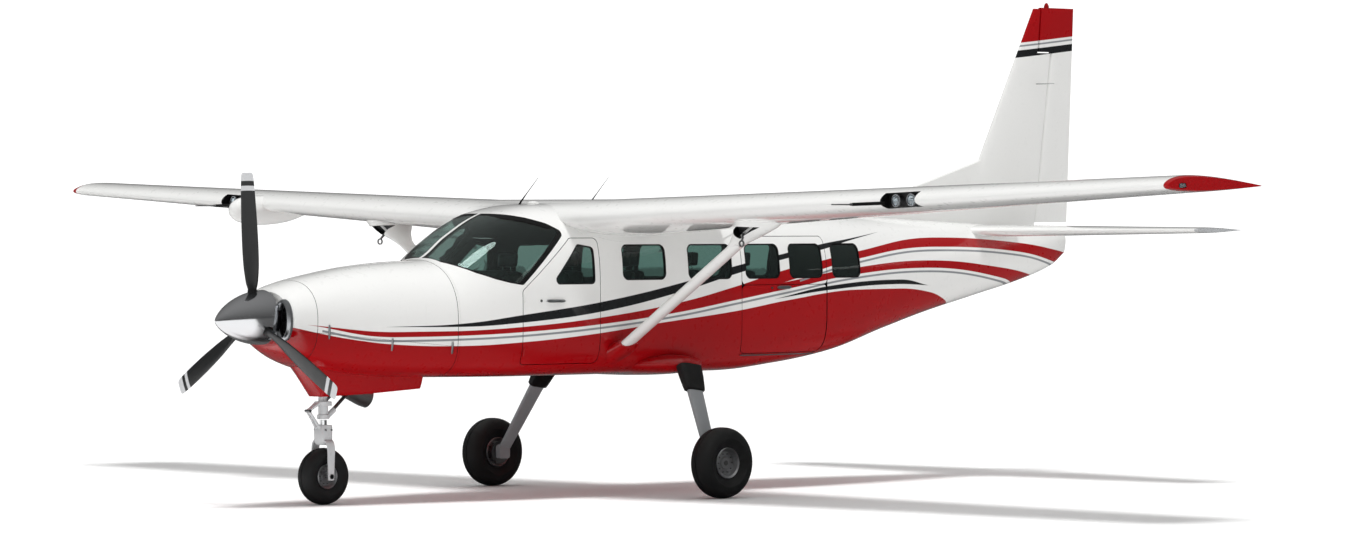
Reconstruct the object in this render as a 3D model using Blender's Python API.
"""Single-engine turboprop utility aircraft: high strut-braced wing and fixed tricycle gear.

Metres. +X is the aircraft's left, -Y is forward and +Z is up. The origin is on the ground
under the middle of the aircraft. Lengthwise places are stations: metres aft of the
spinner's tip.
"""
import math

import bmesh
import bpy
from mathutils import Matrix, Vector

for old in list(bpy.data.objects):
    bpy.data.objects.remove(old, do_unlink=True)

# Overall sizes
LENGTH = 11.46
HALF_SPAN = 7.94
PROP_RADIUS = 1.346
NOSE_AXLE_STATION, MAIN_AXLE_STATION = 1.275, 4.801
HALF_TRACK = 1.681

# Clearances and wall thicknesses
TOUCH = 0.0004
SKIN_TOUCH = 0.0025
DOOR_GAP = 0.009
CARGO_REAR_GAP = 0.016
CONTROL_GAP = 0.010
CABIN_WALL = 0.040
COWL_WALL = 0.025
TAIL_WALL = 0.020
FOIL_WALL = 0.012
PANE_DEPTH, PANE_THICK = 0.006, 0.008
DOOR_CORNER, REAR_DOOR_CORNER, OPENING_CORNER, PANE_CORNER = 0.050, 0.030, 0.055, 0.045
# Cutters through a side of the fuselage reach from one x to the other
SIDE_NEAR, SIDE_FAR = 0.30, 1.10

# Stations where the fuselage's pieces meet
FIREWALL = 2.400
REAR_BULKHEAD = 7.750

HULL_SIDES, LINING_SIDES = 32, 20
LEFT, RIGHT = 1, -1

# Fuselage sections: station, half width, bottom, widest level, top, and the roundness of
# the upper and lower halves, where 2 is an ellipse and more is boxier
HULL = (
    (0.585, 0.350, 1.490, 1.750, 2.000, 2.3, 2.5),
    (0.640, 0.405, 1.445, 1.745, 2.035, 2.4, 2.6),
    (0.850, 0.450, 1.330, 1.730, 2.100, 2.4, 2.7),
    (1.150, 0.490, 1.245, 1.720, 2.160, 2.4, 2.8),
    (1.590, 0.550, 1.195, 1.700, 2.227, 2.4, 3.0),
    (2.000, 0.605, 1.180, 1.700, 2.262, 2.4, 3.4),
    (2.400, 0.660, 1.172, 1.700, 2.285, 2.4, 3.8),
    (2.750, 0.735, 1.168, 1.740, 2.500, 2.5, 4.3),
    (3.070, 0.785, 1.166, 1.790, 2.672, 2.7, 4.7),
    (3.300, 0.800, 1.165, 1.820, 2.750, 2.9, 5.0),
    (3.700, 0.808, 1.165, 1.850, 2.810, 3.2, 5.0),
    (4.300, 0.810, 1.165, 1.850, 2.830, 3.4, 5.0),
    (5.880, 0.810, 1.172, 1.850, 2.810, 3.4, 5.0),
    (6.600, 0.790, 1.228, 1.870, 2.780, 3.2, 4.8),
    (7.390, 0.720, 1.330, 1.900, 2.735, 3.0, 4.2),
    (8.200, 0.600, 1.520, 1.980, 2.695, 2.7, 3.4),
    (9.000, 0.475, 1.700, 2.100, 2.660, 2.5, 2.8),
    (9.800, 0.350, 1.862, 2.220, 2.625, 2.3, 2.5),
    (10.600, 0.215, 2.030, 2.330, 2.585, 2.2, 2.2),
    (11.100, 0.110, 2.180, 2.400, 2.555, 2.1, 2.1),
    (11.300, 0.045, 2.300, 2.440, 2.520, 2.0, 2.0),
)
CABIN_STATIONS = (2.4, 2.58, 2.75, 2.91, 3.07, 3.3, 3.5, 3.7, 4.3, 5.88, 6.25, 6.6, 7.0, 7.39, 7.75)
INNER_STATIONS = (FIREWALL + CABIN_WALL,) + CABIN_STATIONS[1:-1] + (REAR_BULKHEAD - CABIN_WALL,)
COWL_STATIONS = (0.585, 0.61, 0.66, 0.74, 0.85, 1.15, 1.59, 2.0, 2.4)
TAIL_STATIONS = (7.75, 8.2, 8.6, 9.0, 9.8, 10.2, 10.6, 10.9, 11.1, 11.3)

# Doors: side view outlines as station and height
CREW_DOOR = ((3.065, 1.285), (4.030, 1.285), (4.030, 2.490), (3.690, 2.490), (3.065, 1.990))
CREW_PANE = ((3.415, 2.045), (3.965, 2.045), (3.965, 2.400), (3.770, 2.432))
CARGO_FRONT, CARGO_REAR = 5.884, 7.110
AIRSTAIR_FRONT = 6.440
REAR_DOOR_SILL, REAR_DOOR_SPLIT, REAR_DOOR_TOP = 1.345, 2.020, 2.500
WINDSHIELD = (
    (2.425, 3.300), (2.425, 2.272), (3.090, 2.060), (3.550, 2.485), (3.560, 2.560),
    (3.500, 2.625), (3.170, 2.728), (3.170, 3.300),
)
POST_HALF = 0.032

# Side windows: name, front and rear station, and the piece that holds each on the left
# and on the right
WINDOW_LOW, WINDOW_HIGH, WINDOW_CORNER = 2.080, 2.425, 0.060
WINDOWS = (
    ("window_1", 4.318, 4.884, "fuselage_shell", "fuselage_shell"),
    ("window_2", 5.175, 5.760, "fuselage_shell", "fuselage_shell"),
    ("window_3", 5.938, 6.420, "cargo_door_upper", "fuselage_shell"),
    ("window_4", 6.555, 7.045, "cargo_door_upper", "airstair_door_upper"),
    ("window_5", 7.190, 7.640, "fuselage_shell", "fuselage_shell"),
)

# Lifting surfaces
WING_ROOT_X = 0.900
# Wing sections: distance from the centreline, and how much of its thickness each keeps
WING_STATIONS = ((WING_ROOT_X + TOUCH, 1.0), (3.0, 1.0), (7.780, 1.0), (7.900, 0.93), (HALF_SPAN, 0.72))
FLAP_SPAN, FLAP_HINGE = (1.030, 5.050), 0.745
AILERON_SPAN, AILERON_HINGE = (5.100, 7.620), 0.770
ELEVATOR_SPAN, ELEVATOR_HINGE = (0.300, 3.070), 0.600
FIN_TOP, FIN_BASE = 4.890, 2.480
HORN_LEVEL = 4.420

# Landing gear
MAIN_TYRE_RADIUS, MAIN_TYRE_WIDTH, MAIN_RIM = 0.340, 0.250, 0.150
NOSE_TYRE_RADIUS, NOSE_TYRE_WIDTH, NOSE_RIM = 0.266, 0.190, 0.118
WHEEL_SIDES, RIM_SIDES = 24, 20
MAIN_AXLE_RADIUS, NOSE_AXLE_RADIUS = 0.020, 0.015
AXLE_PLAY = 0.007

# Propeller
THRUST_TILT = math.radians(3.2)
SPINNER_RADIUS, SPINNER_LENGTH = 0.255, 0.565
PROP_STATION, PROP_HEIGHT = 0.450, 1.754
BLADES = 3


def at(x, station, z):
    """The row position of a point given by its station."""
    return Vector((x, station - LENGTH / 2, z))


def mix(a, b, f):
    return a + (b - a) * f


def superellipse(angle, width, height, roundness):
    """A point at an angle round a quarter-symmetric oval."""
    c, s = math.cos(angle), math.sin(angle)
    power = 2.0 / roundness
    return (
        math.copysign(abs(c) ** power, c) * width,
        math.copysign(abs(s) ** power, s) * height,
    )


def hull_row(station):
    """The fuselage's section values at a station, on a smooth curve through the table."""
    last = len(HULL) - 1
    k = max(i for i in range(last) if HULL[i][0] <= station + 1e-9 or i == 0)

    def slope(i, column):
        if i in (0, last):
            j = min(i, last - 1)
            return (HULL[j + 1][column] - HULL[j][column]) / (HULL[j + 1][0] - HULL[j][0])
        before = (HULL[i][column] - HULL[i - 1][column]) / (HULL[i][0] - HULL[i - 1][0])
        after = (HULL[i + 1][column] - HULL[i][column]) / (HULL[i + 1][0] - HULL[i][0])
        return 2 * before * after / (before + after) if before * after > 0 else 0.0

    gap = HULL[k + 1][0] - HULL[k][0]
    t = (station - HULL[k][0]) / gap
    row = []
    for column in range(1, 7):
        a, b = HULL[k][column], HULL[k + 1][column]
        row.append(
            (1 + 2 * t) * (1 - t) ** 2 * a + t * t * (3 - 2 * t) * b
            + (t * (1 - t) ** 2 * slope(k, column) - t * t * (1 - t) * slope(k + 1, column)) * gap
        )
    return row


def hull_ring(station, inset=0.0, sides=HULL_SIDES):
    """The fuselage's outline at a station, drawn in by an inset."""
    half, low, wide, high, above, below = hull_row(station)
    ring = []
    for k in range(sides):
        angle = 2 * math.pi * (k + 0.5) / sides
        if math.sin(angle) > 0:
            x, z = superellipse(angle, half - inset, high - wide - inset, above)
        else:
            x, z = superellipse(angle, half - inset, wide - low - inset, below)
        ring.append(at(x, station, wide + z))
    return ring


def hull_x(station, z, inset=0.0):
    """Half the fuselage's width at a station and height."""
    half, low, wide, high, above, below = hull_row(station)
    reach, power = (high - wide, above) if z > wide else (wide - low, below)
    share = min(1.0, abs(z - wide) / (reach - inset))
    return (half - inset) * (1 - share ** power) ** (1 / power)


def finish_mesh(name, bm, colour, roughness, metallic, parent=None):
    """Turn a bmesh into a named object with its own material."""
    bmesh.ops.recalc_face_normals(bm, faces=bm.faces)
    mesh = bpy.data.meshes.new(name)
    bm.to_mesh(mesh)
    bm.free()
    mesh.shade_smooth()
    mesh.set_sharp_from_angle(angle=math.radians(32))
    piece = bpy.data.objects.new(name, mesh)
    bpy.context.collection.objects.link(piece)
    material = bpy.data.materials.new(name)
    material.use_nodes = True
    shader = material.node_tree.nodes["Principled BSDF"]
    shader.inputs["Base Color"].default_value = (*colour, 1.0)
    shader.inputs["Roughness"].default_value = roughness
    shader.inputs["Metallic"].default_value = metallic
    mesh.materials.append(material)
    if parent is not None:
        piece.parent = parent
        piece.matrix_parent_inverse = parent.matrix_world.inverted()
    return piece


def as_guide(piece):
    """Mark a piece as a cutter, which is not part of the aircraft."""
    piece.hide_render = True
    piece.display_type = "WIRE"
    return piece


# Finishes: colour, roughness and metallic
WHITE = ((0.86, 0.86, 0.85), 0.25, 0.0)
RED = ((0.33, 0.010, 0.014), 0.22, 0.0)
GREY = ((0.60, 0.61, 0.62), 0.35, 0.2)
STEEL = ((0.62, 0.62, 0.63), 0.30, 1.0)
BLACK = ((0.015, 0.015, 0.016), 0.45, 0.0)
RUBBER = ((0.018, 0.018, 0.019), 0.80, 0.0)
GLASS = ((0.20, 0.32, 0.32), 0.05, 0.0)
FABRIC = ((0.05, 0.05, 0.055), 0.75, 0.0)
GUIDE = ((0.5, 0.5, 0.5), 0.5, 0.0)


def loft(name, rings, finish, parent=None, closed=False):
    """A closed solid through a row of rings; a closed loft joins its last ring to its first."""
    bm = bmesh.new()
    rows = [[bm.verts.new(point) for point in ring] for ring in rings]
    count = len(rows[0])
    pairs = list(zip(rows, rows[1:]))
    if closed:
        pairs.append((rows[-1], rows[0]))
    else:
        bm.faces.new(rows[0])
        bm.faces.new(rows[-1])
    for near, far in pairs:
        for k in range(count):
            j = (k + 1) % count
            bm.faces.new((near[k], near[j], far[j], far[k]))
    return finish_mesh(name, bm, *finish, parent)


def side_prism(name, outline, near, far, finish=GUIDE, parent=None):
    """A side-view outline of stations and heights, carried from one x to another."""
    rings = [[at(x, station, z) for station, z in outline] for x in (near, far)]
    return loft(name, rings, finish, parent)


def block(name, low, high, finish=GUIDE, parent=None):
    """A box between two corners given as x, station and height."""
    outline = ((low[1], low[2]), (high[1], low[2]), (high[1], high[2]), (low[1], high[2]))
    return side_prism(name, outline, low[0], high[0], finish, parent)


def bar(name, start, end, width, depth, finish, sides=4, parent=None, end_size=1.0):
    """A straight bar of oval or square section between two points."""
    axis = (end - start).normalized()
    across = axis.cross(Vector((0, 1, 0)))
    if across.length < 0.1:
        across = axis.cross(Vector((1, 0, 0)))
    across.normalize()
    along = axis.cross(across).normalized()
    stretch = math.sqrt(2) if sides == 4 else 1.0
    rings = []
    for point, size in ((start, 1.0), (end, end_size)):
        ring = []
        for k in range(sides):
            angle = 2 * math.pi * (k + 0.5) / sides
            ring.append(
                point
                + across * (math.cos(angle) * depth / 2 * stretch * size)
                + along * (math.sin(angle) * width / 2 * stretch * size)
            )
        rings.append(ring)
    return loft(name, rings, finish, parent)


def boolean(piece, operation, *others):
    """Cut a piece with others, join them to it, or keep what they share."""
    for other in others:
        modifier = piece.modifiers.new(other.name, "BOOLEAN")
        modifier.operation = operation
        modifier.object = as_guide(other)
    return piece


def cut(piece, *others):
    return boolean(piece, "DIFFERENCE", *others)


def join(piece, *others):
    return boolean(piece, "UNION", *others)


def keep(piece, *others):
    return boolean(piece, "INTERSECT", *others)


def pivot(name, place, axis, parent=None):
    """An empty on a joint, its Z along the joint's axis."""
    empty = bpy.data.objects.new("pivot_" + name, None)
    bpy.context.collection.objects.link(empty)
    turn = Vector((0, 0, 1)).rotation_difference(Vector(axis).normalized())
    empty.matrix_world = Matrix.Translation(place) @ turn.to_matrix().to_4x4()
    if parent is not None:
        empty.parent = parent
        empty.matrix_parent_inverse = parent.matrix_world.inverted()
    bpy.context.view_layer.update()
    return empty


def rounded(outline, radius, steps=2):
    """Round the corners of a side-view outline."""
    points = []
    count = len(outline)
    for k in range(count):
        corner = Vector(outline[k])
        before = (Vector(outline[k - 1]) - corner).normalized()
        after = (Vector(outline[(k + 1) % count]) - corner).normalized()
        half_angle = before.angle(after) / 2
        back = radius / math.tan(half_angle)
        start, end = corner + before * back, corner + after * back
        centre = corner + (before + after).normalized() * (radius / math.sin(half_angle))
        for step in range(steps + 1):
            spoke = (start - centre).lerp(end - centre, step / steps).normalized() * radius
            points.append(tuple(centre + spoke))
    return points


def grown(outline, margin):
    """Move a convex side-view outline's edges outwards."""
    middle = sum((Vector(point) for point in outline), Vector((0, 0))) / len(outline)
    points = []
    count = len(outline)
    for k in range(count):
        corner = Vector(outline[k])
        lines = []
        for a, b in ((outline[k - 1], outline[k]), (outline[k], outline[(k + 1) % count])):
            edge = (Vector(b) - Vector(a)).normalized()
            normal = Vector((edge.y, -edge.x))
            if normal.dot(corner - middle) < 0:
                normal = -normal
            lines.append(normal)
        n1, n2 = lines
        points.append(tuple(corner + (n1 + n2) * (margin / (1 + n1.dot(n2)))))
    return points


def swollen(ring, margin):
    """Move a ring's points away from its middle."""
    middle = sum(ring, Vector()) / len(ring)
    return [p + (p - middle).normalized() * margin for p in ring]


def box_outline(front, rear, low, high):
    return ((front, low), (rear, low), (rear, high), (front, high))


def hull_loft(name, stations, inset, finish=GUIDE, parent=None, sides=HULL_SIDES):
    return loft(name, [hull_ring(s, inset, sides) for s in stations], finish, parent)


# Wing root stub, airfoils and lifting surfaces

def airfoil(thickness, camber=0.0, crest=0.2, steps=8, blunt=0.0025, inset=0.0):
    """Chord and height fractions, from the trailing edge over the top and back below."""
    def depth(c):
        curve = 0.2969 * math.sqrt(c) - 0.1260 * c - 0.3516 * c ** 2 + 0.2843 * c ** 3 - 0.1036 * c ** 4
        return 5 * thickness * curve + blunt * c

    def mean(c):
        if c < crest:
            return camber * (2 * crest * c - c * c) / crest ** 2
        return camber * (1 - 2 * crest + 2 * crest * c - c * c) / (1 - crest) ** 2

    spread = [(1 - math.cos(math.pi * k / steps)) / 2 for k in range(steps + 1)]
    if inset:
        spread = [mix(inset / thickness * 1.2, 0.80, c) for c in spread]
    top = [(c, mean(c) + depth(c) - inset) for c in reversed(spread)]
    bottom = [(c, mean(c) - depth(c) + inset) for c in spread[0 if inset else 1:]]
    return top + bottom


class Foil:
    """A tapered lifting surface between a root and a tip section."""

    def __init__(self, span, leads, chords, thicknesses, angles=(0.0, 0.0), camber=0.0, upright=False):
        self.span, self.leads, self.chords = span, leads, chords
        self.thicknesses, self.angles, self.camber, self.upright = thicknesses, angles, camber, upright

    def share(self, s):
        return (s - self.span[0]) / (self.span[1] - self.span[0])

    def chord(self, s):
        return mix(*self.chords, self.share(s))

    def thickness(self, s):
        return mix(*self.thicknesses, self.share(s))

    def point(self, side, s, c, h):
        f = self.share(s)
        lead = Vector(self.leads[0]).lerp(Vector(self.leads[1]), f)
        chord = self.chord(s)
        if self.upright:
            return at(h * chord * side, lead.y + c * chord, lead.z)
        tilt = math.radians(mix(*self.angles, f))
        y = lead.y + chord * (c * math.cos(tilt) + h * math.sin(tilt))
        z = lead.z + chord * (h * math.cos(tilt) - c * math.sin(tilt))
        return at(side * lead.x, y, z)

    def ring(self, side, s, thin=1.0, wall=0.0):
        shape = airfoil(self.thickness(s) * thin, self.camber * thin, inset=wall / self.chord(s))
        return [self.point(side, s, c, h) for c, h in shape]

    def hinge(self, side, s, fraction):
        return self.point(side, s, fraction, self.mean(fraction))

    def mean(self, c, crest=0.2):
        return self.camber * (1 - 2 * crest + 2 * crest * c - c * c) / (1 - crest) ** 2

    def nose_radius(self, s, fraction):
        """The radius of a control surface's round nose at its hinge, in metres."""
        top = airfoil(self.thickness(s), 0.0, steps=40)[:41]
        depth = min(top, key=lambda point: abs(point[0] - fraction))[1]
        return depth * self.chord(s) * 0.94

    def control_ring(self, side, s, fraction, steps=6):
        """The section of a control surface: round nose, straight sides, thin trailing edge."""
        chord, radius = self.chord(s), self.nose_radius(s, fraction)
        ring = []
        for k in range(steps + 1):
            angle = math.pi / 2 + math.pi * k / steps
            c = fraction + radius / chord * math.cos(angle)
            h = self.mean(fraction) + radius / chord * math.sin(angle)
            ring.append(self.point(side, s, c, h))
        ring.append(self.point(side, s, 1.0, -0.0025))
        ring.append(self.point(side, s, 1.0, 0.0025))
        return ring


WING = Foil(
    span=(WING_ROOT_X, HALF_SPAN),
    leads=((WING_ROOT_X, 3.690, 2.672), (HALF_SPAN, 4.236, 2.963)),
    chords=(1.980, 1.212), thicknesses=(0.172, 0.120), angles=(2.2, 0.0), camber=0.018,
)
TAILPLANE = Foil(
    span=(0.0, 3.125),
    leads=((0.0, 9.630, 2.540), (3.125, 9.960, 2.555)),
    chords=(1.330, 0.655), thicknesses=(0.10, 0.085),
)
FIN = Foil(
    span=(FIN_BASE, FIN_TOP),
    leads=((0.0, 9.620, FIN_BASE), (0.0, 10.856, FIN_TOP)),
    chords=(1.735, 0.604), thicknesses=(0.085, 0.085), upright=True,
)


def control_face(foil, side, span, fraction, margin):
    """The solid space that a control surface and its gap take out of a fixed surface."""
    reach = 0.3
    rings = []
    for s in (span[0] - margin, span[1] + margin):
        front = fraction - (foil.nose_radius(s, fraction) + CONTROL_GAP) / foil.chord(s)
        rings.append([
            foil.point(side, s, front, -reach), foil.point(side, s, 1.3, -reach),
            foil.point(side, s, 1.3, reach), foil.point(side, s, front, reach),
        ])
    return rings


def control_surface(name, foil, side, span, fraction, finish, parent):
    return loft(name, [foil.control_ring(side, s, fraction) for s in span], finish, parent)


# Fuselage

def door_piece(name, side, outline, parent, corner=DOOR_CORNER):
    """A door cut from the same hull and wall as the fuselage shell."""
    door = hull_loft(name, CABIN_STATIONS, 0.0, WHITE, parent)
    shape = side_prism(name + "_shape", rounded(outline, corner), side * SIDE_NEAR, side * SIDE_FAR)
    cut(door, hull_loft(name + "_inside", INNER_STATIONS, CABIN_WALL, sides=LINING_SIDES))
    return keep(door, shape)


def pane(name, side, outline, parent=None):
    """A window pane that follows the hull, let a little into its opening."""
    small = grown(outline, -TOUCH)
    rings = []
    for depth in (PANE_DEPTH, PANE_DEPTH + PANE_THICK):
        rings.append([at(side * hull_x(s, z, depth), s, z) for s, z in small])
    return loft(name, rings, GLASS, parent)


def window_outline(front, rear):
    return rounded(box_outline(front, rear, WINDOW_LOW, WINDOW_HIGH), WINDOW_CORNER)


def side_name(side):
    return "left" if side == LEFT else "right"


shell = hull_loft("fuselage_shell", CABIN_STATIONS, 0.0, WHITE)
stub_rings = [WING.ring(LEFT, WING_ROOT_X)]
stub_rings.append([Vector((-p.x, p.y, p.z)) for p in stub_rings[0]])
join(shell, loft("wing_root_stub", stub_rings, GUIDE))

# The belly fairing where the main gear's spring legs leave the fuselage
FAIRING_STATION, FAIRING_Z = 4.985, 1.265
FAIRING_REACH, FAIRING_HALF_LENGTH, FAIRING_HALF_DEPTH = 1.020, 0.600, 0.122
FAIRING_ROWS, FAIRING_SIDES, FAIRING_FULLNESS = 9, 14, 0.6
fairing_rings = []
for k in range(FAIRING_ROWS):
    latitude = math.pi * (k + 0.5) / FAIRING_ROWS - math.pi / 2
    fairing_rings.append([
        at(FAIRING_REACH * math.sin(latitude),
           FAIRING_STATION + FAIRING_HALF_LENGTH * math.cos(latitude) * math.cos(a),
           FAIRING_Z + FAIRING_HALF_DEPTH * math.cos(latitude) ** FAIRING_FULLNESS * math.sin(a))
        for a in [2 * math.pi * j / FAIRING_SIDES for j in range(FAIRING_SIDES)]
    ])
join(shell, loft("gear_fairing", fairing_rings, GUIDE))

STRUT_FOOT, STRUT_HEAD = at(0.800, 4.290, 1.410), at(2.780, 4.300, 2.640)
STRUT_CHORD, STRUT_DEPTH = 0.190, 0.062
# The fairing at the strut's foot, from and to distances along the strut
FAIRED_FROM, FAIRED_TO, FAIRED_CHORD, FAIRED_DEPTH = -0.25, 0.13, 0.34, 0.15


def mirrored(point, side):
    return Vector((point.x * side, point.y, point.z))


def strut_fairing(side):
    foot, head = mirrored(STRUT_FOOT, side), mirrored(STRUT_HEAD, side)
    along = (head - foot).normalized()
    return bar(
        "strut_fairing_" + side_name(side), foot + along * FAIRED_FROM, foot + along * FAIRED_TO,
        FAIRED_CHORD, FAIRED_DEPTH, GUIDE, 12, end_size=0.70,
    )


for side in (LEFT, RIGHT):
    join(shell, strut_fairing(side))

cut(shell, hull_loft("cabin_inside", INNER_STATIONS, CABIN_WALL, sides=LINING_SIDES))

DOORS = (
    ("crew_door_left", LEFT, CREW_DOOR),
    ("crew_door_right", RIGHT, CREW_DOOR),
    ("cargo_door", LEFT, box_outline(CARGO_FRONT, CARGO_REAR, REAR_DOOR_SILL, REAR_DOOR_TOP)),
    ("airstair_door", RIGHT, box_outline(AIRSTAIR_FRONT, CARGO_REAR, REAR_DOOR_SILL, REAR_DOOR_TOP)),
)
for name, side, outline in DOORS:
    opening = rounded(outline, OPENING_CORNER)
    cut(shell, side_prism(name + "_opening", opening, side * SIDE_NEAR, side * SIDE_FAR))
for side in (LEFT, RIGHT):
    name = "windshield_" + side_name(side)
    cut(shell, side_prism(name + "_opening", WINDSHIELD, side * POST_HALF, side * SIDE_FAR))
    for window, front, rear, left_holder, right_holder in WINDOWS:
        holder = left_holder if side == LEFT else right_holder
        if holder == "fuselage_shell":
            hole = window + "_hole_" + side_name(side)
            cut(shell, side_prism(hole, window_outline(front, rear), side * SIDE_NEAR, side * SIDE_FAR))
            pane(window + "_" + side_name(side), side, window_outline(front, rear))
    glass = hull_loft(name, CABIN_STATIONS[:8], 0.002, GLASS)
    cut(glass, hull_loft(name + "_back", (2.41,) + CABIN_STATIONS[1:7] + (3.65,), 0.010))
    inner_edge = side_prism(
        name + "_shape", grown(WINDSHIELD, -TOUCH), side * (POST_HALF + TOUCH), side * SIDE_FAR)
    keep(glass, inner_edge)

# Doors, hinged outside the skin so that they swing clear of their frames
CREW_AXIS_X, CARGO_AXIS_X, TOP_AXIS_X, SILL_AXIS_X = 0.802, 0.822, 0.748, 0.760
for side in (LEFT, RIGHT):
    label = "crew_door_" + side_name(side)
    hinge = pivot(label, at(side * CREW_AXIS_X, CREW_DOOR[0][0], 1.650), (0, 0, -side))
    door = door_piece(label, side, grown(CREW_DOOR, -DOOR_GAP), hinge)
    opening = rounded(CREW_PANE, PANE_CORNER)
    cut(door, side_prism(label + "_window_hole", opening, side * SIDE_NEAR, side * SIDE_FAR))
    pane("crew_window_" + side_name(side), side, opening, hinge)

g = DOOR_GAP
cargo_middle, stair_middle = (CARGO_FRONT + CARGO_REAR) / 2, (AIRSTAIR_FRONT + CARGO_REAR) / 2
cargo_top = pivot("cargo_door_upper", at(TOP_AXIS_X, cargo_middle, REAR_DOOR_TOP), (0, -1, 0))
cargo_low = pivot("cargo_door_lower", at(CARGO_AXIS_X, CARGO_FRONT, 1.680), (0, 0, -1))
stair_top = pivot("airstair_upper", at(-TOP_AXIS_X, stair_middle, REAR_DOOR_TOP), (0, 1, 0))
stair_low = pivot("airstair_lower", at(-SILL_AXIS_X, stair_middle, REAR_DOOR_SILL), (0, -1, 0))
REAR_DOORS = (
    ("cargo_door_upper", LEFT, cargo_top,
     (CARGO_FRONT + g, CARGO_REAR - g, REAR_DOOR_SPLIT + g / 2, REAR_DOOR_TOP - g)),
    ("cargo_door_lower", LEFT, cargo_low,
     (CARGO_FRONT + g, CARGO_REAR - CARGO_REAR_GAP, REAR_DOOR_SILL + g, REAR_DOOR_SPLIT - g / 2)),
    ("airstair_door_upper", RIGHT, stair_top,
     (AIRSTAIR_FRONT + g, CARGO_REAR - g, REAR_DOOR_SPLIT + g / 2, REAR_DOOR_TOP - g)),
    ("airstair_door_lower", RIGHT, stair_low,
     (AIRSTAIR_FRONT + g, CARGO_REAR - g, REAR_DOOR_SILL + g, REAR_DOOR_SPLIT - g / 2)),
)
for label, side, hinge, limits in REAR_DOORS:
    door = door_piece(label, side, box_outline(*limits), hinge, REAR_DOOR_CORNER)
    for window, front, rear, left_holder, right_holder in WINDOWS:
        if label == (left_holder if side == LEFT else right_holder):
            hole = window + "_hole_" + side_name(side)
            cut(door, side_prism(hole, window_outline(front, rear), side * SIDE_NEAR, side * SIDE_FAR))
            pane(window + "_" + side_name(side), side, window_outline(front, rear), hinge)

# Tail cone, open at the front where it meets the cabin's rear bulkhead
tail = hull_loft("tail_cone", (REAR_BULKHEAD + TOUCH,) + TAIL_STATIONS[1:], 0.0, WHITE)
tail_space = (REAR_BULKHEAD - 0.1,) + TAIL_STATIONS[1:-3]
cut(tail, hull_loft("tail_inside", tail_space, TAIL_WALL, sides=LINING_SIDES))
tail_hull = hull_loft("tail_outside", TAIL_STATIONS, -TOUCH)

# Cowling: two halves that meet along the latch line, open at the back, with an inlet each
# side of the spinner, and below it a fairing that the nose leg passes through
SPLIT_LINE = ((0.0, 1.700), (3.0, 1.410))
INLET_X, INLET_Z, INLET_HALF_WIDTH, INLET_HALF_HEIGHT = 0.268, 1.735, 0.080, 0.160
CHIN = (
    # station, half width at the top, half width at the bottom, bottom height
    (0.960, 0.200, 0.070, 1.290),
    (1.185, 0.235, 0.095, 1.012),
    (1.700, 0.260, 0.150, 1.030),
    (2.285, 0.270, 0.200, 1.068),
)
CHIN_ROOF = 1.420


def split_height(station):
    (s0, z0), (s1, z1) = SPLIT_LINE
    return mix(z0, z1, (station - s0) / (s1 - s0))


def chin_loft(name, inset, stations):
    rings = []
    for station, top, bottom, low in stations:
        wide, narrow, floor = top - inset, bottom - inset, low + inset
        rings.append([
            at(-wide, station, CHIN_ROOF), at(-mix(narrow, wide, 0.45), station, mix(floor, CHIN_ROOF, 0.25)),
            at(-narrow, station, floor), at(narrow, station, floor),
            at(mix(narrow, wide, 0.45), station, mix(floor, CHIN_ROOF, 0.25)), at(wide, station, CHIN_ROOF),
        ])
    return loft(name, rings, GUIDE)


def half_space(name, above):
    """Everything above or below the cowling's split line."""
    shift = TOUCH if above else -TOUCH
    far = 3.0 if above else 0.2
    line = [(s, split_height(s) + shift) for s in (0.0, 2.9)]
    return side_prism(name, (line[0], line[1], (2.9, far), (0.0, far)), -1.0, 1.0)


def inlet(side):
    """The passage behind an inlet's lip, a little narrower inside."""
    rings = []
    for station, size in ((0.50, 1.06), (0.62, 0.94), (0.85, 0.90)):
        rings.append([
            at(side * (INLET_X + math.cos(a) * INLET_HALF_WIDTH * size), station,
               INLET_Z + math.sin(a) * INLET_HALF_HEIGHT * size)
            for a in [2 * math.pi * k / 14 for k in range(14)]
        ])
    return loft("inlet_" + side_name(side), rings, GUIDE)


COWL_REAR = COWL_STATIONS[:-1] + (FIREWALL - TOUCH,)
shaft = bar("shaft_hole", at(0, 0.50, 1.757), at(0, 0.75, 1.771), 0.20, 0.20, GUIDE, 12)
inside_stations = (0.62,) + COWL_STATIONS[2:-1] + (2.60,)
cowl_space = hull_loft("cowl_inside", inside_stations, COWL_WALL, sides=LINING_SIDES)
inlets = [inlet(side) for side in (LEFT, RIGHT)]
upper = hull_loft("cowl_upper", COWL_REAR, 0.0, WHITE)
cut(upper, cowl_space)
keep(upper, half_space("above_split", True))
cut(upper, shaft, *inlets)

EXHAUST = (
    # x, station, height, radius
    (-0.2505, 1.640, 1.560, 0.080),
    (-0.400, 1.700, 1.330, 0.095),
    (-0.455, 1.860, 1.130, 0.098),
    (-0.470, 2.080, 1.010, 0.094),
    (-0.478, 2.200, 0.965, 0.090),
)


def exhaust_rings(margin, rows):
    """Ovals across the exhaust's path, taller than they are wide."""
    rings = []
    centres = [at(x, station, z) for x, station, z, _ in rows]
    for k, (_, _, _, radius) in enumerate(rows):
        ahead = centres[min(k + 1, len(rows) - 1)] - centres[max(k - 1, 0)]
        if k == 0:
            ahead = Vector((-1, 0, 0))
        ahead.normalize()
        side_way = ahead.cross(Vector((0, 1, 0.6))).normalized()
        other = ahead.cross(side_way).normalized()
        rings.append([
            centres[k] + side_way * (math.cos(a) * (radius + margin) * 0.9)
            + other * (math.sin(a) * (radius + margin) * 1.1)
            for a in [2 * math.pi * j / 12 for j in range(12)]
        ])
    return rings


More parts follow.
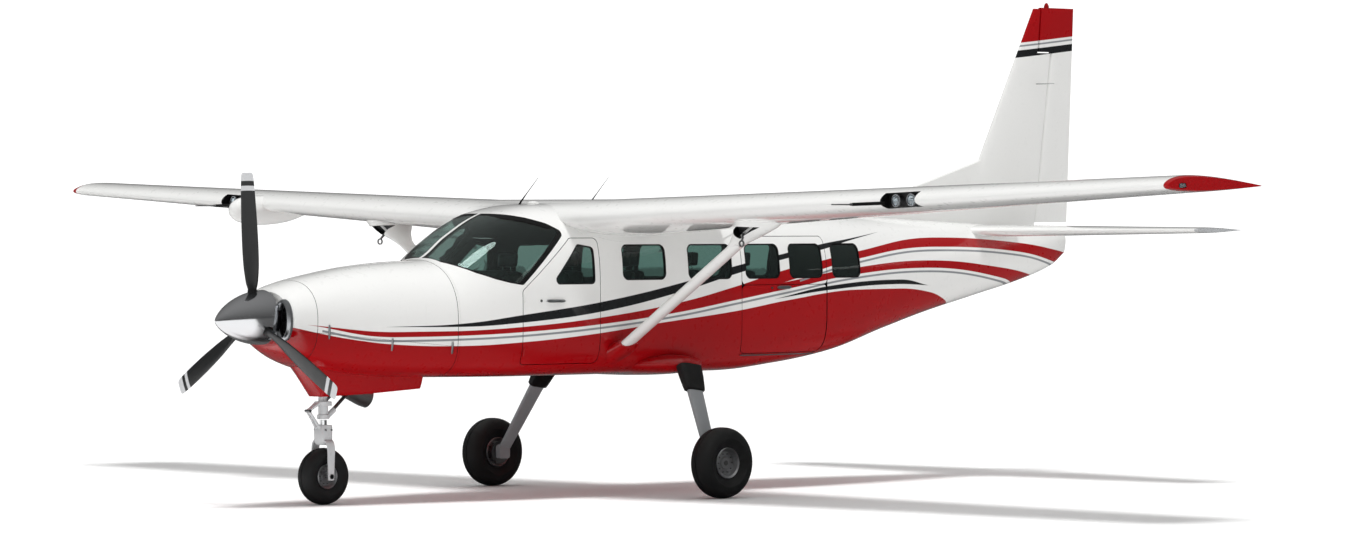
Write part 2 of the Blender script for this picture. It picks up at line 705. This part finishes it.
lower = hull_loft("cowl_lower", COWL_REAR, 0.0, RED)
join(lower, chin_loft("chin_outside", 0.0, CHIN))
cut(lower, cowl_space)
cut(lower, chin_loft("chin_inside", 0.018, [
    (station + dx, top, bottom, low)
    for (station, top, bottom, low), dx in zip(CHIN, (0.035, 0.012, 0.0, 0.05))
]))
keep(lower, half_space("below_split", False))
cut(lower, shaft, *inlets)
cut(lower, loft("exhaust_hole", exhaust_rings(0.010, EXHAUST), GUIDE))
cut(lower, block("nose_leg_slot", (-0.065, 1.205, 0.90), (0.065, 1.760, 1.20)))
cut(lower, block("chin_rear_mouth", (-0.17, 2.10, 1.10), (0.17, 2.35, 1.165)))

stack = loft("exhaust_stack", exhaust_rings(0.0, EXHAUST), STEEL)
last = EXHAUST[-1]
beyond = (last[0] - 0.012, last[1] + 0.10, last[2] - 0.035, last[3])
cut(stack, loft("exhaust_bore", exhaust_rings(-0.008, EXHAUST[2:] + (beyond,)), GUIDE))

# Engine: a plain block on its mount, with its output shaft
engine = block("engine_block", (-0.250, 0.950, 1.470), (0.250, 2.150, 1.970), GREY)
join(engine, bar("engine_shaft", at(0, 0.615, 1.764), at(0, 1.00, 1.785), 0.12, 0.12, GUIDE, 10))
MOUNT_HALF = 0.022
for k, (x, z) in enumerate(((0.20, 1.52), (-0.20, 1.52), (0.20, 1.92), (-0.20, 1.92))):
    join(engine, block(
        "engine_mount_%d" % k, (x - MOUNT_HALF, 2.10, z - MOUNT_HALF),
        (x + MOUNT_HALF, FIREWALL - TOUCH, z + MOUNT_HALF)))

# Cabin floor, instrument panel and seats
FLOOR_TOP = 1.325
floor_outline = ((0.50, 2.52), (0.60, 3.20), (0.63, 3.60), (0.60, 6.10), (0.48, 6.55))
floor_rings = []
for z in (FLOOR_TOP - 0.030, FLOOR_TOP):
    edge = [at(x, station, z) for x, station in floor_outline]
    floor_rings.append(edge + [Vector((-p.x, p.y, p.z)) for p in reversed(edge)])
loft("cabin_floor", floor_rings, GREY)

PANEL = (
    (2.900, 1.700), (2.960, 1.700), (2.930, 2.120), (3.000, 2.150), (2.990, 2.175), (2.640, 2.175),
    (2.650, 2.130), (2.870, 2.110),
)
panel = side_prism("instrument_panel", PANEL, -0.640, 0.640, BLACK)
keep(panel, hull_loft("panel_limit", CABIN_STATIONS[:8], CABIN_WALL + 0.012, sides=LINING_SIDES))

SEAT_PROFILE = (
    # station from the seat's front, and height above the floor
    (0.00, 0.300), (0.47, 0.270), (0.60, 0.850), (0.575, 0.860), (0.600, 0.890), (0.625, 1.010),
    (0.690, 1.020), (0.700, 0.880), (0.675, 0.850), (0.700, 0.830), (0.590, 0.190), (0.05, 0.190),
    (-0.02, 0.240),
)
SEAT_ROWS = (
    # name, station of the seats' front, and distance of a seat's middle from the centreline
    ("crew_seats", 3.200, 0.340),
    ("cabin_seats_1", 4.020, 0.380),
    ("cabin_seats_2", 4.830, 0.380),
    ("cabin_seats_3", 5.620, 0.380),
)
SEAT_HALF = 0.215
for label, front, middle in SEAT_ROWS:
    row = bar(
        label, at(-0.50, front + 0.30, FLOOR_TOP + 0.025), at(0.50, front + 0.30, FLOOR_TOP + 0.025),
        0.05, 0.045, FABRIC)
    for side in (LEFT, RIGHT):
        outline = [(front + s, FLOOR_TOP + z) for s, z in SEAT_PROFILE]
        x = side * middle
        seat = side_prism(label + "_" + side_name(side), outline, x - SEAT_HALF, x + SEAT_HALF)
        leg = block(
            label + "_leg_" + side_name(side), (x - 0.15, front + 0.10, FLOOR_TOP + TOUCH),
            (x + 0.15, front + 0.48, FLOOR_TOP + 0.215))
        join(row, leg, seat)

# Wings, with flap and aileron bays
WING_CONTROLS = (
    # name, span, hinge as a fraction of the chord, drop of the hinge line, sense of the axis
    ("flap", FLAP_SPAN, FLAP_HINGE, 0.150, -1),
    ("aileron", AILERON_SPAN, AILERON_HINGE, 0.0, 1),
)
for side in (LEFT, RIGHT):
    word = side_name(side)
    rings = [WING.ring(side, s, thin) for s, thin in WING_STATIONS]
    wing = loft("wing_" + word, rings, WHITE)
    for label, span, fraction, drop, sense in WING_CONTROLS:
        cut(wing, loft(label + "_bay_" + word, control_face(WING, side, span, fraction, CONTROL_GAP), GUIDE))
        ends = [WING.hinge(side, s, fraction) - Vector((0, 0, drop)) for s in span]
        axis = (ends[1] - ends[0]).normalized() * side * sense
        hinge = pivot(label + "_" + word, (ends[0] + ends[1]) / 2, axis)
        control_surface(label + "_" + word, WING, side, span, fraction, WHITE, hinge)

    foot, head = mirrored(STRUT_FOOT, side), mirrored(STRUT_HEAD, side)
    along = (head - foot).normalized()
    strut_start = foot + along * (FAIRED_TO + TOUCH)
    strut = bar("strut_" + word, strut_start, head, STRUT_CHORD, STRUT_DEPTH, WHITE, 14)
    low_wing = loft("strut_top_cut_" + word, [
        [p - Vector((0, 0, SKIN_TOUCH)) for p in WING.ring(side, s)] for s, _ in WING_STATIONS[:2]], GUIDE)
    cut(strut, low_wing)

# Fin with its dorsal fillet, rudder with its horn balance
HINGE_LOW, HINGE_HIGH = (10.875, 2.660), (11.128, 4.412)
RUDDER_BOTTOM = 2.630
RUDDER_TRAILS = (11.354, LENGTH)
RUDDER_HALF, RUDDER_TOP_HALF, RUDDER_TAPER_HEIGHT = 0.047, 0.030, 1.8
HORN_SHAPE = ((10.892, 4.30), (12.0, 4.30), (12.0, 5.2), (10.985, 5.2))
HORN_GAP = 0.012

def hinge_station(z):
    return mix(HINGE_LOW[0], HINGE_HIGH[0], (z - HINGE_LOW[1]) / (HINGE_HIGH[1] - HINGE_LOW[1]))


def trail_station(z):
    return mix(*RUDDER_TRAILS, (z - RUDDER_BOTTOM) / (FIN_TOP - RUDDER_BOTTOM))


fin = loft("fin", [FIN.ring(LEFT, z) for z in (FIN_BASE, 3.7, 4.80)] + [FIN.ring(LEFT, FIN_TOP, 0.8)], WHITE)
dorsal = loft("dorsal_fillet", [
    [at(-0.016, 7.79, 2.60), at(0.016, 7.79, 2.60), at(0.008, 7.80, 2.718), at(-0.008, 7.80, 2.718)],
    [at(-0.075, 10.20, 2.45), at(0.075, 10.20, 2.45), at(0.022, 10.10, 3.315), at(-0.022, 10.10, 3.315)],
], GUIDE)
join(fin, dorsal)
fin_inside = loft("fin_inside", [
    FIN.ring(LEFT, z, wall=FOIL_WALL) for z in (FIN_BASE - 0.1, 4.30)], GUIDE)
cut(fin, fin_inside)
front_gap, bay_top = RUDDER_HALF + CONTROL_GAP, HORN_LEVEL - HORN_GAP
cut(fin, side_prism("rudder_bay", (
    (hinge_station(2.3) - front_gap, 2.3), (12.0, 2.3), (12.0, 5.2), (10.975, 5.2), (10.875, bay_top),
    (hinge_station(HORN_LEVEL) - front_gap, bay_top)), -0.3, 0.3))
cut(fin, tail_hull)

hinge_foot, hinge_head = at(0, *HINGE_LOW), at(0, *HINGE_HIGH)
rudder_hinge = pivot("rudder", (hinge_foot + hinge_head) / 2, hinge_head - hinge_foot)
rudder_rings = []
for z in (RUDDER_BOTTOM, HORN_LEVEL + 0.05):
    station = hinge_station(z)
    radius = mix(RUDDER_HALF, RUDDER_TOP_HALF, (z - RUDDER_BOTTOM) / RUDDER_TAPER_HEIGHT)
    ring = [
        at(radius * math.sin(a), station - radius * math.cos(a), z)
        for a in [math.pi * (k / 6 - 0.5) for k in range(7)]
    ]
    trail = trail_station(z)
    rudder_rings.append(ring + [at(0.004, trail, z), at(-0.004, trail, z)])
rudder = loft("rudder", rudder_rings, WHITE, rudder_hinge)
horn_rings = [FIN.ring(LEFT, HORN_LEVEL + 0.004), FIN.ring(LEFT, 4.80), FIN.ring(LEFT, FIN_TOP, 0.8)]
horn = loft("rudder_horn", horn_rings, GUIDE)
keep(horn, side_prism("horn_shape", HORN_SHAPE, -0.3, 0.3))
join(rudder, horn)

# Tailplane halves and elevators
elevator_pivot = pivot("elevator", TAILPLANE.hinge(LEFT, 0.0, ELEVATOR_HINGE), (1, 0, 0))
for side in (LEFT, RIGHT):
    word = side_name(side)
    spans = ((0.12, 1.0), (3.00, 1.0), (3.125, 0.70))
    plane = loft("tailplane_" + word, [TAILPLANE.ring(side, s, thin) for s, thin in spans], WHITE)
    cut(plane, loft("tailplane_inside_" + word, [
        TAILPLANE.ring(side, s, wall=FOIL_WALL) for s in (0.0, 2.80)], GUIDE))
    cut(plane, loft("elevator_bay_" + word, control_face(
        TAILPLANE, side, (-0.3, ELEVATOR_SPAN[1]), ELEVATOR_HINGE, CONTROL_GAP), GUIDE))
    cut(plane, tail_hull)
    control_surface("elevator_" + word, TAILPLANE, side, ELEVATOR_SPAN, ELEVATOR_HINGE, WHITE, elevator_pivot)

# Weather radar pod on the right wing's leading edge
POD_X, POD_Z = -4.450, 2.757
POD = (
    # station, radius
    (3.655, 0.010), (3.668, 0.048), (3.705, 0.090), (3.785, 0.126), (3.930, 0.147), (4.150, 0.148),
    (4.400, 0.116), (4.620, 0.050),
)
pod_rings = [
    [at(POD_X + math.cos(a) * radius, station, POD_Z + math.sin(a) * radius)
     for a in [2 * math.pi * k / 16 for k in range(16)]]
    for station, radius in POD
]
pod = loft("radar_pod", pod_rings, WHITE)
pod_seat = [swollen(WING.ring(RIGHT, s, 1.06), 3 * SKIN_TOUCH) for s, _ in WING_STATIONS[1:3]]
cut(pod, loft("radar_pod_cut", pod_seat, GUIDE))


# Wheels: tyre, rim and the bodies that carry them

def turned(name, x, station, z, profile, finish, parent, sides=WHEEL_SIDES):
    """A ring turned about an axis across the aircraft; it stands on a flat at its foot."""
    stretch = 1 / math.cos(math.pi / sides)
    rings = []
    for k in range(sides):
        angle = 2 * math.pi * (k + 0.5) / sides
        aft, down = math.sin(angle) * stretch, math.cos(angle) * stretch
        rings.append([
            at(x + across, station + aft * radius, z - down * radius) for across, radius in profile])
    return loft(name, rings, finish, parent, closed=True)


def wheel(name, x, station, radius, width, rim, axle, parent):
    """A fat tyre on a split rim with a hub bore, both turning on the axle."""
    half = width / 2
    tyre = (
        (-half * 0.62, rim), (-half * 0.96, mix(rim, radius, 0.36)), (-half, mix(rim, radius, 0.62)),
        (-half * 0.84, mix(rim, radius, 0.90)), (-half * 0.46, radius), (half * 0.46, radius),
        (half * 0.84, mix(rim, radius, 0.90)), (half, mix(rim, radius, 0.62)),
        (half * 0.96, mix(rim, radius, 0.36)), (half * 0.62, rim),
    )
    turned(name + "_tyre", x, station, radius, tyre, RUBBER, parent)
    seat, bore = rim * math.cos(math.pi / RIM_SIDES) - TOUCH, axle + AXLE_PLAY
    disc = (
        (-half * 0.66, seat), (-half * 0.66, seat * 0.86), (-half * 0.30, seat * 0.76), (-half * 0.36, bore),
        (half * 0.44, bore), (half * 0.34, seat * 0.76), (half * 0.66, seat * 0.86), (half * 0.66, seat),
    )
    turned(name + "_wheel", x, station, radius, disc, GREY, parent, RIM_SIDES)


# The main gear's spring legs, each with its boot, axle fitting and axle
LEG_TOP, LEG_END = (0.990, 4.990, 1.300), (1.530, 4.815, 0.360)
LEG_WIDTH, LEG_DEPTH, LEG_TAPER = 0.190, 0.058, 0.74
BOOT_WIDTH, BOOT_DEPTH, BOOT_TAPER = 0.262, 0.115, 0.80
FITTING_NEAR, FITTING_FAR = (1.490, 4.735, 0.277), (1.545, 4.875, 0.420)
AXLE_START_X, AXLE_END_X = 1.495, HALF_TRACK + 0.062
for side in (LEFT, RIGHT):
    word = side_name(side)
    spin = pivot("main_wheel_" + word, at(side * HALF_TRACK, MAIN_AXLE_STATION, MAIN_TYRE_RADIUS), (1, 0, 0))
    wheel(
        "main_" + word, side * HALF_TRACK, MAIN_AXLE_STATION, MAIN_TYRE_RADIUS, MAIN_TYRE_WIDTH, MAIN_RIM,
        MAIN_AXLE_RADIUS, spin)
    top, end = at(side * LEG_TOP[0], *LEG_TOP[1:]), at(side * LEG_END[0], *LEG_END[1:])
    leg = bar("gear_leg_" + word, top, end, LEG_WIDTH, LEG_DEPTH, GREY, 10, end_size=LEG_TAPER)
    axle_start, axle_end = [
        at(side * x, MAIN_AXLE_STATION, MAIN_TYRE_RADIUS) for x in (AXLE_START_X, AXLE_END_X)]
    join(leg, bar(
        "axle_" + word, axle_start, axle_end, MAIN_AXLE_RADIUS * 2, MAIN_AXLE_RADIUS * 2, GUIDE, 10))
    near_x, far_x = sorted((side * FITTING_NEAR[0], side * FITTING_FAR[0]))
    join(leg, block("axle_fitting_" + word, (near_x, *FITTING_NEAR[1:]), (far_x, *FITTING_FAR[1:])))
    boot = bar(
        "gear_boot_" + word, mix(top, end, 0.06), mix(top, end, 0.31), BOOT_WIDTH, BOOT_DEPTH, BLACK, 12,
        end_size=BOOT_TAPER)
    join(leg, boot)
    cut(leg, *[loft("leg_cut_%s_%d" % (word, k), rings, GUIDE) for k, rings in enumerate((
        [swollen([Vector((p.x * 1.004, p.y, p.z)) for p in ring], SKIN_TOUCH) for ring in fairing_rings],
        [hull_ring(s, -SKIN_TOUCH) for s in (4.3, 5.88)],
    ))])

# Nose leg: fixed cylinder with its drag brace, and the steered part below it
NOSE = NOSE_AXLE_STATION
leg_cylinder = bar("nose_strut", at(0, NOSE, 0.800), at(0, NOSE, 1.330), 0.094, 0.094, GREY, 14)
join(
    leg_cylinder,
    bar("nose_collar", at(0, NOSE, 0.790), at(0, NOSE, 0.830), 0.118, 0.118, GUIDE, 14),
    bar("drag_brace", at(0, NOSE + 0.035, 0.815), at(0, 1.620, 1.080), 0.040, 0.040, GUIDE, 8),
    bar("drag_brace_upper", at(0, 1.600, 1.065), at(0, 2.350, 1.290), 0.055, 0.055, GUIDE, 8),
    block("nose_gear_beam", (-0.045, NOSE - 0.045, 1.235), (0.045, FIREWALL - TOUCH, 1.325)),
)

steer = pivot("nose_steering", at(0, NOSE, 0.700), (0, 0, 1))
nose_spin = pivot("nose_wheel", at(0, NOSE, NOSE_TYRE_RADIUS), (1, 0, 0), steer)
wheel("nose", 0.0, NOSE, NOSE_TYRE_RADIUS, NOSE_TYRE_WIDTH, NOSE_RIM, NOSE_AXLE_RADIUS, nose_spin)
ARM_X, ARM_TOP, ARM_FOOT = 0.116, 0.550, NOSE_TYRE_RADIUS - 0.035
crown = bar("nose_fork", at(0, NOSE, 0.560), at(0, NOSE, 0.745), 0.150, 0.150, GREY, 10, steer)
join(crown, bar("piston", at(0, NOSE, 0.700), at(0, NOSE, 0.783), 0.060, 0.060, GUIDE, 12))
for side in (LEFT, RIGHT):
    word = side_name(side)
    join(
        crown,
        bar(
            "fork_shoulder_" + word, at(side * 0.03, NOSE, 0.592), at(side * ARM_X, NOSE, 0.530),
            0.105, 0.042, GUIDE),
        bar(
            "fork_arm_" + word, at(side * ARM_X, NOSE, ARM_TOP), at(side * ARM_X, NOSE, ARM_FOOT),
            0.090, 0.022, GUIDE, end_size=0.8),
    )
nose_axle_ends = [at(x, NOSE, NOSE_TYRE_RADIUS) for x in (-0.124, 0.124)]
join(crown, bar("nose_axle", *nose_axle_ends, NOSE_AXLE_RADIUS * 2, NOSE_AXLE_RADIUS * 2, GUIDE, 10))
collar = bar("steering_collar", at(0, NOSE, 0.925), at(0, NOSE, 0.965), 0.160, 0.160, GUIDE, 14)
cut(collar, bar("steering_collar_bore", at(0, NOSE, 0.90), at(0, NOSE, 0.99), 0.110, 0.110, GUIDE, 14))
join(
    crown,
    collar,
    bar("scissor_upper", at(0, NOSE - 0.070, 0.948), at(0, 1.092, 0.872), 0.030, 0.060, GUIDE),
    bar("scissor_lower", at(0, 1.096, 0.888), at(0, NOSE - 0.055, 0.700), 0.030, 0.060, GUIDE),
)

# Propeller: hub and blades, and the spinner shell over the hub
prop_centre = at(0, PROP_STATION, PROP_HEIGHT)
thrust = Vector((0, math.cos(THRUST_TILT), math.sin(THRUST_TILT)))
prop_up = Vector((0, -math.sin(THRUST_TILT), math.cos(THRUST_TILT)))
prop_pivot = pivot("propeller", prop_centre, thrust)


def on_disc(reach, angle, ahead=0.0):
    """A point on the propeller's disc, angle from straight up towards the left."""
    spoke = prop_up * math.cos(angle) + Vector((1, 0, 0)) * math.sin(angle)
    return prop_centre + spoke * reach - thrust * ahead


def round_ring(centre, radius, sides):
    return [
        centre + prop_up * (math.cos(a) * radius) + Vector((1, 0, 0)) * (math.sin(a) * radius)
        for a in [2 * math.pi * (k + 0.5) / sides for k in range(sides)]
    ]


# Blade sections: share of the radius, chord, thickness and pitch in degrees
BLADE = (
    (0.055, 0.075, 0.075, 50.0), (0.185, 0.080, 0.070, 44.0), (0.250, 0.120, 0.048, 36.0),
    (0.400, 0.168, 0.032, 24.0), (0.600, 0.185, 0.022, 16.0), (0.800, 0.180, 0.015, 11.0),
    (0.930, 0.165, 0.011, 9.0), (0.985, 0.148, 0.009, 8.0), (1.000, 0.110, 0.006, 8.0),
)


def blade_rings(angle):
    spoke = prop_up * math.cos(angle) + Vector((1, 0, 0)) * math.sin(angle)
    sweep = thrust.cross(spoke).normalized()
    rings = []
    for share, chord, thick, pitch in BLADE:
        turn = math.radians(pitch)
        chordwise = sweep * math.cos(turn) + thrust * math.sin(turn)
        normal = spoke.cross(chordwise).normalized()
        rings.append([
            prop_centre + spoke * (share * PROP_RADIUS)
            + chordwise * (math.cos(a) * chord / 2) + normal * (math.sin(a) * thick / 2)
            for a in [2 * math.pi * k / 10 for k in range(10)]
        ])
    return rings


def hub_point(station):
    return at(0, station, PROP_HEIGHT + (station - PROP_STATION) * math.tan(THRUST_TILT))


hub = loft("propeller", [round_ring(hub_point(s), r, 12) for s, r in (
    (0.26, 0.06), (0.36, 0.105), (0.54, 0.105), (0.545, 0.095))], STEEL, prop_pivot)
SPINNER_ROWS, SPINNER_BLUNTNESS, SPINNER_WALL = 6, 0.86, 0.012
spinner_profile = [
    (SPINNER_LENGTH * (1 - math.cos(a)), SPINNER_RADIUS * math.sin(a) ** SPINNER_BLUNTNESS)
    for a in [math.pi / 2 * k / SPINNER_ROWS for k in range(1, SPINNER_ROWS + 1)]
]
outer = [(0.0, 0.014)] + spinner_profile
rings = [round_ring(hub_point(s), r, 20) for s, r in outer]
spinner = loft("spinner", rings, STEEL, prop_pivot)
inside = [(s + 0.008, r - SPINNER_WALL) for s, r in spinner_profile[1:-1]]
inside = [(0.10, 0.050)] + inside + [(0.62, SPINNER_RADIUS - SPINNER_WALL)]
cut(spinner, loft("spinner_inside", [round_ring(hub_point(s), r, 20) for s, r in inside], GUIDE))
for k in range(BLADES):
    angle = 2 * math.pi * k / BLADES
    blade = loft("blade_%d" % k, blade_rings(angle), GUIDE)
    join(hub, blade)
    cut(spinner, bar(
        "blade_hole_%d" % k, on_disc(0.12, angle), on_disc(0.40, angle), 0.104, 0.104, GUIDE, 12))
